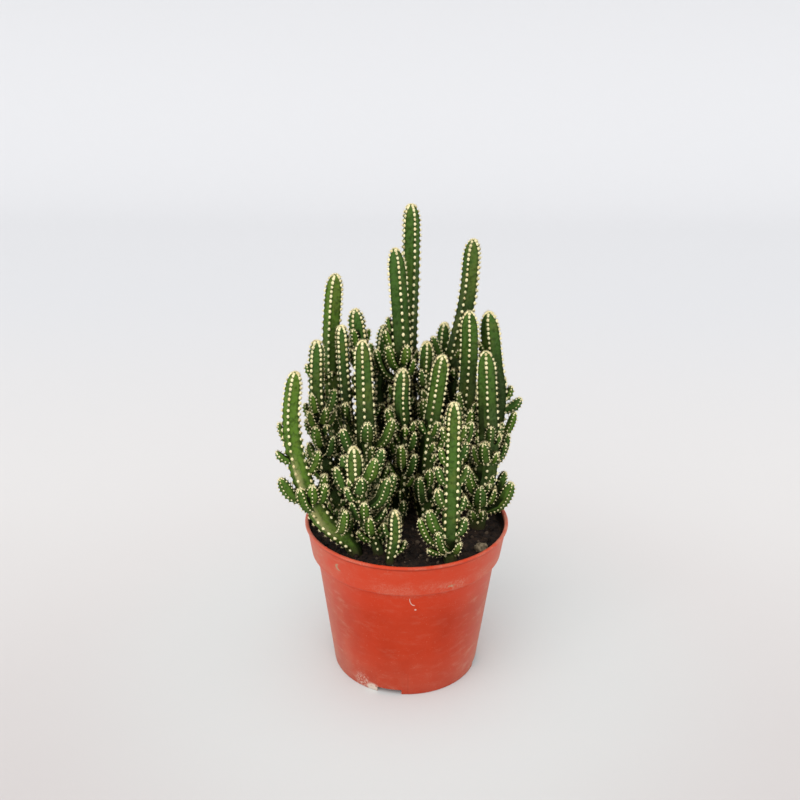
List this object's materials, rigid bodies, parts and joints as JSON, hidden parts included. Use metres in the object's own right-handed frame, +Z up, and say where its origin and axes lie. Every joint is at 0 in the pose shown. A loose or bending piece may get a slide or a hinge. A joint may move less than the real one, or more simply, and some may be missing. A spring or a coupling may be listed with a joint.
{
  "type": "potted fairy castle cactus",
  "caption": "Clump of slim ribbed columnar cactus stems with small shoots and short spines, standing in soil in a round tapered plastic nursery pot.",
  "frame": {"origin": "on the pot's axis, on the level surface that the pot's foot ring rests on", "axes": "+Z up along the pot's axis, -Y towards the front of the plant as pictured, +X to its right"},
  "size_m": [0.1411, 0.12, 0.274],
  "materials": {
    "red_plastic": "satin red-orange moulded plastic, lightly dusty and scuffed",
    "potting_soil": "matt black-brown potting soil with crumbs",
    "clod": "matt light brown dry clod",
    "cactus_flesh": "waxy green skin with cream wool and short spines along the ribs"
  },
  "bodies": {
    "root": {"pot": "red_plastic", "soil": "potting_soil", "stone": "clod", "stem_arching_left": "cactus_flesh", "stem_left": "cactus_flesh", "stem_left_back": "cactus_flesh", "stem_left_middle": "cactus_flesh", "stem_stout_middle": "cactus_flesh", "stem_slim_left": "cactus_flesh", "stem_centre_tall": "cactus_flesh", "stem_tallest": "cactus_flesh", "stem_right_tall": "cactus_flesh", "stem_right_edge": "cactus_flesh", "stem_right_middle": "cactus_flesh", "stem_right_stout": "cactus_flesh", "stem_leaning": "cactus_flesh", "stem_centre": "cactus_flesh", "stem_front_right": "cactus_flesh", "stem_front_small": "cactus_flesh", "stem_front_cluster": "cactus_flesh", "stem_back_right": "cactus_flesh", "stem_back_centre": "cactus_flesh", "stem_back_far_right": "cactus_flesh", "stem_back_left": "cactus_flesh", "stem_inner_left": "cactus_flesh", "stem_inner_right": "cactus_flesh"}
  },
  "joints": []
}
